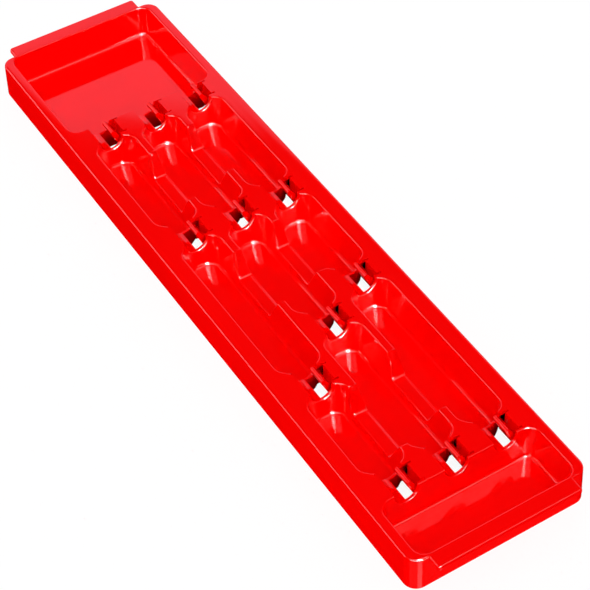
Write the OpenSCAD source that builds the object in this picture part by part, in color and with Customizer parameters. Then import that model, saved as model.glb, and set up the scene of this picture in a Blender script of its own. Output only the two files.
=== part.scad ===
// Long moulded tray that holds ratchets and extensions by their shafts.
// X runs across the tray, Y along it, Z up. The origin is the middle of the underside.

/* [Body] */
// Length of the box, without its two end ledges
body_l = 447; // [440:1:454]
// Width of the box
body_w = 106.5; // [104:0.1:110]
// Height from the table to the deck
body_h = 22.2; // [20:0.2:26]
// Radius of the four upright corners
corner_r = 7.4; // [6.4:0.2:9]
// Lean of the long sides of the skirt in degrees, wider at the foot
side_draft = 0.8; // [0.5:0.1:3]
// Lean of the two ends of the skirt in degrees
end_draft = 2; // [0.5:0.1:3]
// Rounding of the outer top edge
rim_r = 1.4; // [0.8:0.1:2]

/* [Walls] */
// Thickness of the outer skirt
skirt_t = 2.2; // [1.6:0.1:2.6]
// Thickness of the deck
deck_t = 2.2; // [1.6:0.1:2.8]
// Thickness of the floors
floor_t = 1.6; // [1.2:0.1:2.4]
// Thickness of the tub walls
tub_t = 1.8; // [1.5:0.1:2.1]
// How far the side walls of a tub lean inward from the deck to the floor
side_lean = 2.4; // [1:0.1:2.6]
// How far the end walls of a tub lean inward from the deck to the floor
end_lean = 1.2; // [0.6:0.1:2]
// Fillet between a tub wall and its floor
floor_fillet = 2; // [1:0.1:2.2]
// Rounding where a tub, a saddle or a lowered stretch meets the deck or a wall
edge_r = 0.9; // [0.4:0.1:1]

/* [Ledges] */
// How far each end ledge sticks out
ledge_d = 8.4; // [6:0.2:12]
// Thickness of a ledge
ledge_t = 2.6; // [2:0.1:3.4]
// Radius of the two free corners of a ledge, seen from above
ledge_r = 1.8; // [1.4:0.1:3]
// Rounding of the upper edge of a ledge
ledge_edge_r = 1.3; // [0.6:0.1:1.4]

/* [Bins] */
// Flat rim beside the two end bins
bin_rim = 5.9; // [4.6:0.1:6.4]
// Radius of the upright corners of the bins
bin_r = 6.8; // [5:0.2:8]

/* [Pockets] */
// Distance between the three columns
pitch = 30.1; // [29.6:0.1:30.6]
// Width of a pocket
pocket_w = 25.3; // [24.4:0.1:26]
// Size of the slanted corners of a pocket on the closed side of the clips
pocket_chamfer = 6.2; // [5.6:0.1:6.8]
// Size of its corners on the side of the springs
spring_chamfer = 4.4; // [4.3:0.1:5.6]
// Radius where the walls of a pocket meet
pocket_r = 7.2; // [5.6:0.1:7.4]
// Length of the lowered stretch of a divider at deck level
gap_l = 47; // [42:1:50]
// Height of the lowered stretch above the table
ridge_h = 7; // [5.6:0.2:9]
// How far each end of the lowered stretch slants inward
gap_slant = 6.8; // [4:0.2:9]
// Fillet between a slant and the ridge
gap_foot_r = 2; // [1:0.1:3]
// Rounding of the two long edges of the ridge
ridge_r = 1.4; // [0.8:0.1:1.8]

/* [Clips] */
// Radius of a saddle
saddle_r = 7.1; // [6.6:0.1:7.4]
// How far the middle of a saddle sits below the deck
saddle_drop = 1; // [0.4:0.1:1.6]
// Length of the bridge between two pockets that carries a clip
bridge_l = 17; // [16:0.2:18]
// Width of the slots that free a spring at its ends
slot_w = 1.1; // [0.9:0.1:1.4]
// Thickness of a spring
spring_t = 1.7; // [1.6:0.1:2.2]
// How far the finger of a spring rises above the deck
finger_rise = 2.2; // [1:0.1:3]

/* [Hidden] */
$fn = 96;
eps = 0.01;
arc_steps = 4;
shell_steps = 2;
fillet_steps = 3;

// Middle of each clip along the tray, row by row, for the columns at left, middle and right
clip_rows = [[131.9, 131.9, 131.9], [31.8, 31.8, 31.8], [-98.3, -66.8, -47.5], [-176.9, -176.9, -176.9]];
// Middle of the lowered stretch of the divider at left and at right in each row of pockets
gap_rows = [[77.2, 85.3], [-19.6, -11.2], [-136.7, -127.7]];

depth = body_h - floor_t;
clip_half = bridge_l / 2;
far_bin_trim = 0.9;
near_bin_trim = 0.2;
bin_w = body_w - 2 * bin_rim;
bin_radii = [bin_r, bin_r - side_lean];
pocket_radii = [pocket_r, pocket_r];
far_bin = [clip_rows[0][0] + clip_half - far_bin_trim, body_l / 2 - tub_t];
near_bin = [-body_l / 2 + tub_t, clip_rows[3][0] - clip_half + near_bin_trim];
divider_w = pitch - pocket_w;
divider_foot = divider_w + 2 * side_lean;
divider_trim = pocket_r / 2;
lap = 0.05;
shell_foot_r = 2.4;
column_x = [-pitch, 0, pitch];
saddle_z = body_h - saddle_drop;
spring_face = saddle_r + 2.6;
window_l = bridge_l - 2 * tub_t;
spring_l = window_l - 2 * slot_w;
bend_z = saddle_z - saddle_r - 1.6;
bend_r = spring_t + 0.85;
finger_top_x = 1.9;
finger_r = 0.9;
finger_slant = 40;
finger_back = [0.3, -1.8];

// Where two lines cross, each given by the angle of its normal and its distance from the origin
function meet(a, b) =
    let (s = sin(b[0] - a[0]))
    [(a[1] * sin(b[0]) - b[1] * sin(a[0])) / s, (b[1] * cos(a[0]) - a[1] * cos(b[0])) / s];

// Convex outline with round corners, drawn smaller by inset; its sides are [angle, distance]
function outline(sides, r, inset, steps) =
    let (n = len(sides))
    [for (i = [0:n - 1])
        let (a = sides[i], b = sides[(i + 1) % n], turn = (b[0] - a[0] + 360) % 360)
        let (c = meet([a[0], a[1] - r], [b[0], b[1] - r]))
        for (k = [0:steps]) c + (r - inset) * [cos(a[0] + turn * k / steps), sin(a[0] + turn * k / steps)]];

// Sides of a rectangle, and of a pocket with its slanted corners
function box_sides(w, l) = [[0, w / 2], [90, l / 2], [180, w / 2], [270, l / 2]];
function pocket_sides(w, l) =
    let (right = (w / 2 + l / 2 - spring_chamfer) * cos(45), left = (w / 2 + l / 2 - pocket_chamfer) * cos(45))
    [[0, w / 2], [45, right], [90, l / 2], [135, left],
     [180, w / 2], [225, left], [270, l / 2], [315, right]];

// Solid between outlines at rising heights; all of them have the same number of points
module loft(rings, heights) {
    n = len(rings[0]);
    last = len(rings) - 1;
    corners = [for (j = [0:last]) for (p = rings[j]) [p[0], p[1], heights[j]]];
    foot = [for (i = [0:n - 1]) i];
    head = [for (i = [n - 1:-1:0]) last * n + i];
    walls = [for (j = [0:last - 1]) for (i = [0:n - 1])
        [j * n + i, (j + 1) * n + i, (j + 1) * n + (i + 1) % n, j * n + (i + 1) % n]];
    polyhedron(corners, concat([foot], walls, [head]));
}

// How far a side of a tub leans inward from the deck to the floor
function lean(angle) = side_lean * abs(cos(angle)) + end_lean * abs(sin(angle));

// Section of a tub at height z: the walls lean in below the deck, and inset moves them further in.
// r is the radius of the corners at the deck and at the floor
function tub_outline(sides, r, z, inset, steps) =
    let (k = (body_h - z) / depth)
    outline([for (s = sides) [s[0], s[1] - k * lean(s[0]) - inset]],
        r[0] + k * (r[1] - r[0]) - inset, 0, steps);

// Inside of a tub: leaning walls with a round fillet at the floor, open through the deck
module cavity(sides, r, steps) {
    over = 1;
    fillet = [for (k = [0:fillet_steps]) let (t = 90 * k / fillet_steps)
        [floor_t + floor_fillet * (1 - cos(t)), floor_fillet * (1 - sin(t))]];
    rim = [for (k = [0:fillet_steps]) let (t = 90 * k / fillet_steps)
        [body_h - edge_r * (1 - sin(t)), -edge_r * (1 - cos(t))]];
    rings = concat(fillet, rim, [[body_h + over, -edge_r]]);
    loft([for (f = rings) tub_outline(sides, r, f[0], f[1], steps)], [for (f = rings) f[0]]);
}

// Walls and floor around a tub, hanging from the deck, with a round lower edge
module tub_shell(sides, r) {
    rounding = [for (k = [0:shell_steps]) let (t = 90 * k / shell_steps)
        [shell_foot_r * (1 - cos(t)), shell_foot_r * (1 - sin(t)) - tub_t]];
    rings = concat(rounding, [[body_h - deck_t / 2, -tub_t]]);
    loft([for (f = rings) tub_outline(sides, r, f[0], f[1], shell_steps)], [for (f = rings) f[0]]);
}

// Half the thickness of a divider at height z
function divider_half(z) = divider_w / 2 + side_lean * (body_h - z) / depth;

function pocket_ends(row, col) = [clip_rows[row + 1][col] + clip_half, clip_rows[row][col] - clip_half];

module at_pocket(row, col) {
    ends = pocket_ends(row, col);
    translate([column_x[col], (ends[0] + ends[1]) / 2, 0]) children();
}

module each_pocket() {
    for (row = [0:2]) for (col = [0:2]) {
        $sides = pocket_sides(pocket_w, pocket_ends(row, col)[1] - pocket_ends(row, col)[0]);
        at_pocket(row, col) children();
    }
}

module each_bin() {
    for (ends = [near_bin, far_bin]) {
        $sides = box_sides(bin_w, ends[1] - ends[0]);
        translate([0, (ends[0] + ends[1]) / 2, 0]) children();
    }
}

module each_clip() {
    for (row = [0:3]) for (col = [0:2]) translate([column_x[col], clip_rows[row][col], 0]) children();
}

// Outer form with a leaning skirt and a rounded top edge, shrunk by inset
module outer_form(inset) {
    rounding = [for (k = [0:fillet_steps]) let (t = 90 * k / fillet_steps)
        [body_h - rim_r * (1 - sin(t)), inset + rim_r * (1 - cos(t))]];
    rings = concat([[0, inset]], rounding);
    loft([for (f = rings) outer_outline(body_h - f[0], f[1])], [for (f = rings) f[0]]);
}

function outer_outline(drop, inset) =
    outline(box_sides(body_w + 2 * drop * tan(side_draft), body_l + 2 * drop * tan(end_draft)),
        corner_r, inset, 2 * arc_steps);

module skirt_and_deck() {
    difference() {
        outer_form(0);
        translate([0, 0, -deck_t]) outer_form(skirt_t);
    }
}

// Flat ledges that carry on from the deck at both ends, with a round upper edge
module ledges() {
    w = body_w - 20;
    root = ledge_edge_r + rim_r;
    rounding = [for (k = [0:fillet_steps]) let (t = 90 * k / fillet_steps)
        [body_h - ledge_edge_r * (1 - sin(t)), ledge_edge_r * (1 - cos(t))]];
    rings = concat([[body_h - ledge_t, 0]], rounding);
    for (end = [-1, 1]) translate([0, end * (body_l + ledge_d - root) / 2, 0])
        loft([for (f = rings) outline(box_sides(w, ledge_d + root), ledge_r, f[1], arc_steps)],
            [for (f = rings) f[0]]);
}

// Dividers where two pockets lie side by side, as a skin over a core that is open below
module dividers() {
    for (side = [0, 1]) for (row = [0:2]) for (other = [0:2]) {
        left = pocket_ends(row, side);
        right = pocket_ends(other, side + 1);
        y0 = max(left[0], right[0]) + divider_trim;
        y1 = min(left[1], right[1]) - divider_trim;
        if (y1 > y0) difference() {
            translate([(side - 0.5) * pitch - divider_foot / 2, y0, 0])
                cube([divider_foot, y1 - y0, body_h - deck_t / 2]);
            divider_core(side, row, y0 - 1, y1 + 1);
        }
    }
}

module divider_core(side, row, y0, y1) {
    top = body_h - deck_t - lap;
    foot_half = divider_foot / 2 - tub_t - lap;
    top_half = divider_half(top) - tub_t - lap;
    translate([(side - 0.5) * pitch, 0, 0]) difference() {
        translate([0, y1, 0]) rotate([90, 0, 0]) linear_extrude(y1 - y0)
            polygon([[-foot_half, 0], [foot_half, 0], [top_half, top], [-top_half, top]]);
        translate([0, gap_rows[row][side], -deck_t]) gap_prism(gap_l / 2 + 0.6 * deck_t, edge_r);
    }
}

// Cutters that lower the middle of each divider to a ridge with a round top
module divider_gaps() {
    for (row = [0:2]) for (side = [0, 1]) translate([(side - 0.5) * pitch, gap_rows[row][side], 0])
        difference() {
            gap_prism(gap_l / 2, edge_r);
            rotate([90, 0, 0]) linear_extrude(gap_l, center = true) ridge_section();
        }
}

// Prism of a lowered stretch seen across the tray: fillets at the ridge, round edges at the deck
module gap_prism(half_top, round_r) {
    slope = atan((body_h - ridge_h) / gap_slant);
    bend = tan(slope / 2);
    foot = half_top - gap_slant - gap_foot_r * bend;
    head = half_top + round_r * bend;
    low = [for (k = [0:fillet_steps]) let (t = slope * k / fillet_steps)
        [foot + gap_foot_r * sin(t), ridge_h + gap_foot_r * (1 - cos(t))]];
    high = [for (k = [0:fillet_steps]) let (t = slope * (1 - k / fillet_steps))
        [head - round_r * sin(t), body_h - round_r * (1 - cos(t))]];
    right = concat([[foot, ridge_h - ridge_r]], low, high, [[head, body_h + deck_t + 1]]);
    left = [for (i = [len(right) - 1:-1:0]) [-right[i][0], right[i][1]]];
    rotate([90, 0, 90]) linear_extrude(divider_foot + 1, center = true) polygon(concat(right, left));
}

module ridge_section() {
    half = divider_half(ridge_h);
    translate([-half, 0]) square([2 * half, ridge_h - ridge_r]);
    translate([-half + ridge_r, 0]) square([2 * (half - ridge_r), ridge_h]);
    for (side = [-1, 1]) translate([side * (half - ridge_r), ridge_h - ridge_r]) circle(ridge_r);
}

// U-shaped path of a shaft across a bridge, seen along the tray
module saddle_section(r) {
    translate([0, saddle_z]) circle(r);
    translate([-r, saddle_z]) square([2 * r, saddle_drop + 4]);
}

module saddle_cut() {
    rotate([90, 0, 0]) linear_extrude(bridge_l + 6, center = true) saddle_section(saddle_r);
    for (end = [0, 180]) rotate(end) translate([0, clip_half + saddle_drop * end_lean / depth, saddle_z])
        rotate([-90 + atan(end_lean / depth), 0, 0]) saddle_flare();
}

// Cutter that rounds one rim of a saddle: half a ring, carried on straight up to the deck
module saddle_flare() {
    rotate_extrude(angle = 180) flare_section();
    for (side = [0, 1]) mirror([side, 0, 0]) rotate([90, 0, 0])
        linear_extrude(saddle_drop + 1) flare_section();
}

module flare_section() {
    difference() {
        translate([saddle_r - 0.3, -edge_r]) square([edge_r + 0.3, edge_r + 0.6]);
        translate([saddle_r + edge_r, -edge_r]) circle(edge_r + lap);
    }
}

// Curved left half of a saddle, which carries on from the deck to the middle
module saddle_shell() {
    rotate([90, 0, 0]) linear_extrude(bridge_l, center = true) intersection() {
        saddle_section(saddle_r + tub_t);
        translate([-saddle_r - tub_t, 0]) square([saddle_r + tub_t, body_h - eps]);
    }
}

// Window through the deck for a spring, with a slot past each of its ends
module spring_window() {
    translate([0, -window_l / 2, 0]) cube([spring_face, window_l, body_h + 1]);
    for (end = [-1, 1]) translate([spring_face - eps, end * (spring_l + slot_w) / 2 - slot_w / 2, 0])
        cube([spring_t + 0.6, slot_w, body_h + 1]);
}

// Leaf spring moulded on to the deck: a leg down, a tight bend and a slanted finger up
module spring() {
    bend_x = spring_face + spring_t - bend_r;
    rotate([90, 0, 0]) linear_extrude(spring_l, center = true) {
        translate([spring_face, bend_z]) square([spring_t, body_h - bend_z - 0.4]);
        translate([spring_face + 0.4, body_h - 1]) square([spring_t + 0.4, 1]);
        translate([spring_face + 0.4, body_h - 0.4]) circle(0.4);
        translate([bend_x, bend_z]) difference() {
            circle(bend_r);
            circle(bend_r - spring_t);
            translate([-bend_r, 0]) square([2 * bend_r, bend_r]);
        }
        finger_section(bend_x - bend_r);
    }
}

// Section of a finger: upright towards the shaft, with a round top and a slanted back
module finger_section(foot_x) {
    top = [finger_top_x + finger_r, body_h + finger_rise - finger_r];
    polygon([[foot_x, bend_z - eps], [foot_x + spring_t, bend_z - eps],
        [foot_x, body_h] + finger_back, top + finger_r * [cos(finger_slant), sin(finger_slant)],
        [finger_top_x, top[1]], [finger_top_x, body_h - 0.4]]);
    translate(top) circle(finger_r);
}

module tray() {
    color("red") {
        difference() {
            union() {
                skirt_and_deck();
                ledges();
                each_pocket() tub_shell($sides, pocket_radii);
                each_bin() tub_shell($sides, bin_radii);
                dividers();
                each_clip() saddle_shell();
            }
            each_pocket() cavity($sides, pocket_radii, arc_steps);
            each_bin() cavity($sides, bin_radii, 2 * arc_steps);
            divider_gaps();
            each_clip() saddle_cut();
            each_clip() spring_window();
        }
        each_clip() spring();
    }
}

tray();
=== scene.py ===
import math

import bmesh
import bpy
from mathutils import Matrix, Vector


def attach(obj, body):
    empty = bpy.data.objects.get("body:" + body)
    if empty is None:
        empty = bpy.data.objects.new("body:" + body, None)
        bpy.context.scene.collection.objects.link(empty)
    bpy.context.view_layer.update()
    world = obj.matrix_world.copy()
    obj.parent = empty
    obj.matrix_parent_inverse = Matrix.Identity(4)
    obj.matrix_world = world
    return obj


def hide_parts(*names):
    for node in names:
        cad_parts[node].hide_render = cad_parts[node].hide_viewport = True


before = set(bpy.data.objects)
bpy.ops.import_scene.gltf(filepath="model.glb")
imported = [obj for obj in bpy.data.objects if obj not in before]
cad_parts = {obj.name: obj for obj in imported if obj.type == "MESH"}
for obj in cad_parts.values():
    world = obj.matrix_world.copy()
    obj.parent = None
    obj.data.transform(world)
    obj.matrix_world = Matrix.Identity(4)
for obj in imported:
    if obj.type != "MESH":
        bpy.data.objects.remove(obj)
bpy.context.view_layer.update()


class Wire:
    # a socket in a node tree that can be used in plain arithmetic
    def __init__(self, bench, socket):
        self.bench = bench
        self.socket = socket

    def combine(self, operation, *others):
        return self.bench.node("ShaderNodeMath", {"operation": operation}, [self, *others])

    def __add__(self, other): return self.combine("ADD", other)
    def __radd__(self, other): return self.combine("ADD", other)
    def __mul__(self, other): return self.combine("MULTIPLY", other)
    def __rmul__(self, other): return self.combine("MULTIPLY", other)
    def __sub__(self, other): return self.combine("SUBTRACT", other)
    def __truediv__(self, other): return self.combine("DIVIDE", other)

    def __rsub__(self, other):
        return self.bench.node("ShaderNodeMath", {"operation": "SUBTRACT"}, [other, self])

    def size(self): return self.combine("ABSOLUTE")

    def step(self, low, high):
        # 0 below low, 1 above high, smooth in between
        settings = {"interpolation_type": "SMOOTHSTEP"}
        return self.bench.node("ShaderNodeMapRange", settings, [self, low, high, 0.0, 1.0])


class Bench:
    # builds nodes in one tree, each with its settings first and then its inputs
    def __init__(self, tree):
        self.tree = tree
        tree.nodes.clear()

    def node(self, kind, settings=None, inputs=None, output=0):
        made = self.tree.nodes.new(kind)
        for name, value in (settings or {}).items():
            setattr(made, name, value)
        pairs = inputs.items() if isinstance(inputs, dict) else enumerate(inputs or [])
        for key, value in pairs:
            if isinstance(value, Wire):
                self.tree.links.new(value.socket, made.inputs[key])
            else:
                made.inputs[key].default_value = value
        return Wire(self, made.outputs[output]) if made.outputs else made

    def mix(self, factor, first, second):
        return self.node("ShaderNodeMixShader", None, [factor, first, second])

    def both(self, first, second):
        return self.node("ShaderNodeAddShader", None, [first, second])

    def dot(self, wire, direction):
        settings = {"operation": "DOT_PRODUCT"}
        return self.node("ShaderNodeVectorMath", settings, [wire, direction], output="Value")

    def axes(self, wire):
        return [self.node("ShaderNodeSeparateXYZ", None, [wire], output=axis) for axis in "XYZ"]

    def ray(self, kind):
        return self.node("ShaderNodeLightPath", output=kind)

    def light(self, strength, colour=(1, 1, 1, 1)):
        return self.node("ShaderNodeBackground", None, {"Color": colour, "Strength": strength})

    def matt(self, colour):
        return self.node("ShaderNodeBsdfDiffuse", None, {"Color": colour})

    def glow(self, strength):
        return self.node("ShaderNodeEmission", None, {"Color": (1, 1, 1, 1), "Strength": strength})


def makeMaterial(name):
    material = bpy.data.materials.new(name)
    material.use_nodes = True
    return material, Bench(material.node_tree)


cameraSettings = {
    "place": (-0.3671, -0.6637, 0.7902),
    "right": (0.8482, -0.5289, -0.0292),
    "up": (0.4035, 0.6094, 0.6825),
    "lens": 118.7,
    "sensor": 36,
    "clip": (0.05, 20),
}


def makeCamera():
    s = cameraSettings
    data = bpy.data.cameras.new("camera")
    data.sensor_width = s["sensor"]
    data.lens = s["lens"]
    data.clip_start, data.clip_end = s["clip"]
    camera = bpy.data.objects.new("camera", data)
    bpy.context.scene.collection.objects.link(camera)
    right = Vector(s["right"]).normalized()
    up = Vector(s["up"])
    up = (up - up.dot(right) * right).normalized()
    turn = Matrix((right, up, right.cross(up))).transposed().to_4x4()
    camera.matrix_world = Matrix.Translation(s["place"]) @ turn
    bpy.context.scene.camera = camera
    print("camera set")


studioSettings = {
    "room": 1.06,  # even light on the matt side of every surface
    "overhead": 0.012,  # dark ceiling that the deck mirrors
    "backdrop": (0.56, 0.56, 0.70, 1),  # pale wall that the far end mirrors
    "backdropFrom": (0.2, 0.4),  # the wall stands only on the far side
    "backdropTop": (0.606, 0.624),
    "backdropTilt": 0.14,
    "lampFront": (0.0, 0.15),  # a lamp shines only on its own side of the sky
}

# lamps that only the gloss mirrors: sides are tangents from the azimuth, heights are those of a
# unit direction, and each edge runs softly between its two values
lampSettings = {
    "mainBox": {"azimuth": 266.0, "left": (-0.34, -0.22), "right": (0.24, 0.37),
                "low": (0.60, 0.88), "high": (0.94, 0.99), "strength": 56.0},
    "lowBox": {"azimuth": 262.0, "left": (-0.40, -0.20), "right": (0.20, 0.40),
               "low": (0.14, 0.26), "high": (0.34, 0.44), "strength": 125.0},
    "sideBox": {"azimuth": 225.0, "left": (-0.90, -0.50), "right": (0.42, 0.58),
                "low": (0.55, 0.80), "high": (0.90, 0.98), "strength": 4.0},
    "sideLow": {"azimuth": 225.0, "left": (-0.70, -0.20), "right": (0.42, 0.58),
                "low": (0.14, 0.26), "high": (0.32, 0.42), "strength": 26.0},
    "farBox": {"azimuth": 305.0, "left": (-0.50, -0.30), "right": (0.35, 0.60),
               "low": (0.69, 0.90), "high": (0.94, 0.99), "strength": 3.0},
    "leftPanel": {"azimuth": 143.0, "left": (-0.45, -0.22), "right": (0.22, 0.45),
                  "low": (-0.05, 0.1), "high": (0.35, 0.52), "strength": 2.2},
}


def mirroredLamp(bench, aim, height, lamp):
    turn = math.radians(lamp["azimuth"])
    ahead = bench.dot(aim, (math.cos(turn), math.sin(turn), 0))
    aside = bench.dot(aim, (-math.sin(turn), math.cos(turn), 0))
    slope = aside / ahead
    front = ahead.step(*studioSettings["lampFront"])
    shape = slope.step(*lamp["left"]) * (1 - slope.step(*lamp["right"])) * front
    return shape * height.step(*lamp["low"]) * (1 - height.step(*lamp["high"])) * lamp["strength"]


def makeStudio():
    s = studioSettings
    world = bpy.data.worlds.new("studio")
    bpy.context.scene.world = world
    world.cycles.sampling_method = "NONE"  # so that the gloss takes only what it mirrors
    world.use_nodes = True
    bench = Bench(world.node_tree)
    aim = bench.node("ShaderNodeTexCoord", output="Generated")  # in a world this is the direction
    across, along, height = bench.axes(aim)
    low = 1 - (height - across * s["backdropTilt"]).step(*s["backdropTop"])
    wall = bench.light(low * along.step(*s["backdropFrom"]), s["backdrop"])
    lamps = sum((mirroredLamp(bench, aim, height, lamp) for lamp in lampSettings.values()), s["overhead"])
    mirrored = bench.both(wall, bench.light(lamps))
    lit = bench.mix(bench.ray("Is Glossy Ray"), bench.light(s["room"]), mirrored)
    seen = bench.mix(bench.ray("Is Camera Ray"), lit, bench.light(1.0))
    bench.node("ShaderNodeOutputWorld", None, {"Surface": seen})
    print("studio lit with", len(lampSettings), "lamps")


floorSettings = {
    "size": 6.0,
    "drop": 0.0002,
    "seen": 0.93,  # level at which the camera sees the floor by itself
    "shade": (0.07, 0.07, 0.07, 1),  # what the tray's shade can take from it
    "paper": (0.80, 0.80, 0.80, 1),
    "glow": 0.48,  # light that the floor around the tray gives its sides
    "halfWidth": (0.052, 0.056),  # the glow starts outside these
    "halfLength": (0.222, 0.226),
    "mirrored": (0.02, 0.02, 0.02, 1),
    "mirroredRough": 0.1,
    "strips": ((-0.0168, -0.0095), (0.0142, 0.0215), (0.0450, 0.0525)),  # deep shade under the slots
    "stripReach": 0.20,
}


def makeSheet(name, spans, reach, height):
    # flat rectangles along Y, each between two values of x
    corners, faces = [], []
    for left, right in spans:
        faces.append([len(corners) + k for k in range(4)])
        around = ((left, -reach), (right, -reach), (right, reach), (left, reach))
        corners += [(x, y, height) for x, y in around]
    mesh = bpy.data.meshes.new(name)
    mesh.from_pydata(corners, [], faces)
    sheet = bpy.data.objects.new(name, mesh)
    bpy.context.scene.collection.objects.link(sheet)
    return sheet


def makeFloor():
    s = floorSettings
    half = s["size"] / 2
    floor = makeSheet("floor", [(-half, half)], half, -s["drop"])
    material, bench = makeMaterial("floorPaper")
    place = bench.node("ShaderNodeTexCoord", output="Object")
    across, along, _ = bench.axes(place)
    under = (1 - across.size().step(*s["halfWidth"])) * (1 - along.size().step(*s["halfLength"]))
    paper = bench.both(bench.matt(s["paper"]), bench.glow((1 - under) * s["glow"]))
    gloss = {"Color": s["mirrored"], "Roughness": s["mirroredRough"]}
    mirrored = bench.node("ShaderNodeBsdfGlossy", None, gloss)
    rest = bench.mix(bench.ray("Is Glossy Ray"), paper, mirrored)
    seen = bench.both(bench.matt(s["shade"]), bench.glow(s["seen"]))
    surface = bench.mix(bench.ray("Is Camera Ray"), rest, seen)
    bench.node("ShaderNodeOutputMaterial", None, {"Surface": surface})
    floor.data.materials.append(material)

    # painted shade: dark matt sheets on the floor under the slots, in the floor's mirrored colour, where
    # the tray's own shade falls
    strips = makeSheet("deepShade", s["strips"], s["stripReach"], -s["drop"] / 2)
    dark, bench = makeMaterial("deepShade")
    bench.node("ShaderNodeOutputMaterial", None, {"Surface": bench.matt(s["mirrored"])})
    strips.data.materials.append(dark)
    print("floor laid with", len(s["strips"]), "strips of shade")


plasticSettings = {
    "colour": (0.945, 0.0, 0.0, 1),
    "cloudy": (0.905, 0.0, 0.0, 1),  # faint clouds of another red, as in any moulding
    "cloudScale": 12.0,
    "cloudDetail": 2.0,
    "cloudEdges": (0.35, 0.65),
    "rough": 0.04,
    "grainRough": 0.02,  # how much the fine grain adds to it
    "grainScale": 90.0,
    "grainDetail": 3.0,
    "ior": 1.54,
}


def makePlastic():
    s = plasticSettings
    material, bench = makeMaterial("redPlastic")
    place = bench.node("ShaderNodeTexCoord", output="Object")
    cloud = bench.node("ShaderNodeTexNoise", None,
                       {"Vector": place, "Scale": s["cloudScale"], "Detail": s["cloudDetail"]})
    colours = {"Factor": cloud.step(*s["cloudEdges"]), "A": s["colour"], "B": s["cloudy"]}
    colour = bench.node("ShaderNodeMix", {"data_type": "RGBA"}, colours, output=2)
    grain = bench.node("ShaderNodeTexNoise", None,
                       {"Vector": place, "Scale": s["grainScale"], "Detail": s["grainDetail"]})
    roughness = grain * s["grainRough"] + s["rough"]
    shader = bench.node("ShaderNodeBsdfPrincipled", None,
                        {"Base Color": colour, "Roughness": roughness, "IOR": s["ior"]})
    bench.node("ShaderNodeOutputMaterial", None, {"Surface": shader})
    return material


traySettings = {
    "merge": 0.00002,
    "flat": 0.6,  # degrees below which neighbouring faces are one plane
    "smoothBelow": 52,  # degrees below which the shading runs over an edge
    "dividerAt": 0.01505,  # the middle of a divider, to the left or right
    "dividerNear": 0.0004,
    "noseHeights": (0.005, 0.0215),
    "noseRound": 0.0014,
    "noseSteps": 4,
    "sag": 0.022,  # the floor of the deep bin mirrors as if it sloped by this, as thin floors do
    "sagBelow": 0.0025,
    "sagFrom": 0.12,
}


def slopedEnd(face):
    # the end of a lowered stretch faces the near end of the tray and the sky
    s = traySettings
    middle, normal = face.calc_center_median(), face.normal
    low, high = s["noseHeights"]
    onDivider = abs(abs(middle.x) - s["dividerAt"]) < s["dividerNear"] and low < middle.z < high
    return onDivider and abs(normal.x) < 0.05 and normal.y < -0.1 and normal.z > 0.1


def roundNoses(form):
    # softens the left edge of every sloped divider end, down to its foot
    s = traySettings
    form.normal_update()
    ends = {face for face in form.faces if slopedEnd(face)}
    edges = [e for e in form.edges if len(e.link_faces) == 2 and len(ends.intersection(e.link_faces)) == 1
             and any(f.normal.x < -0.9 for f in e.link_faces)]
    bmesh.ops.bevel(form, geom=edges, offset=s["noseRound"], segments=s["noseSteps"], profile=0.5,
                    affect="EDGES", clamp_overlap=False)
    print("rounded", len(edges), "divider edges on", len(ends), "faces")


def cornerNormals(form):
    # every corner takes its neighbours below the angle, weighted by area, so that flat faces stay flat
    s = traySettings
    form.normal_update()
    limit = math.cos(math.radians(s["smoothBelow"]))
    sag = Vector((0, s["sag"], 0))
    area = {face: face.calc_area() for face in form.faces}
    normals = []
    for face in form.faces:
        for loop in face.loops:
            total = Vector()
            for other in loop.vert.link_faces:
                if other.normal.dot(face.normal) > limit:
                    total += other.normal * area[other]
            normal = total.normalized() if total.length > 0 else face.normal.copy()
            spot = loop.vert.co
            if normal.z > 0.9 and spot.z < s["sagBelow"] and spot.y > s["sagFrom"]:
                normal = (normal + sag).normalized()
            normals.append(normal)
    return normals


def makeTray():
    s = traySettings
    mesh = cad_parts["tray"].data.copy()
    mesh.name = "trayBody"
    form = bmesh.new()
    form.from_mesh(mesh)
    bmesh.ops.remove_doubles(form, verts=form.verts, dist=s["merge"])
    bmesh.ops.dissolve_limit(form, angle_limit=math.radians(s["flat"]), verts=form.verts, edges=form.edges)
    roundNoses(form)
    openEdges = sum(1 for edge in form.edges if len(edge.link_faces) != 2)
    print("tray with", len(form.verts), "points", len(form.faces), "faces", openEdges, "open edges")
    for face in form.faces:
        face.smooth = True
        face.material_index = 0
    normals = cornerNormals(form)
    form.to_mesh(mesh)
    form.free()
    mesh.normals_split_custom_set(normals)
    mesh.materials.clear()
    mesh.materials.append(makePlastic())
    made = bpy.data.objects.new("tray_body", mesh)
    bpy.context.scene.collection.objects.link(made)
    return made


makeCamera()
makeStudio()
makeFloor()
tray = makeTray()
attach(tray, "root")
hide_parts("tray")

bpy.context.scene.view_settings.view_transform = "Standard"
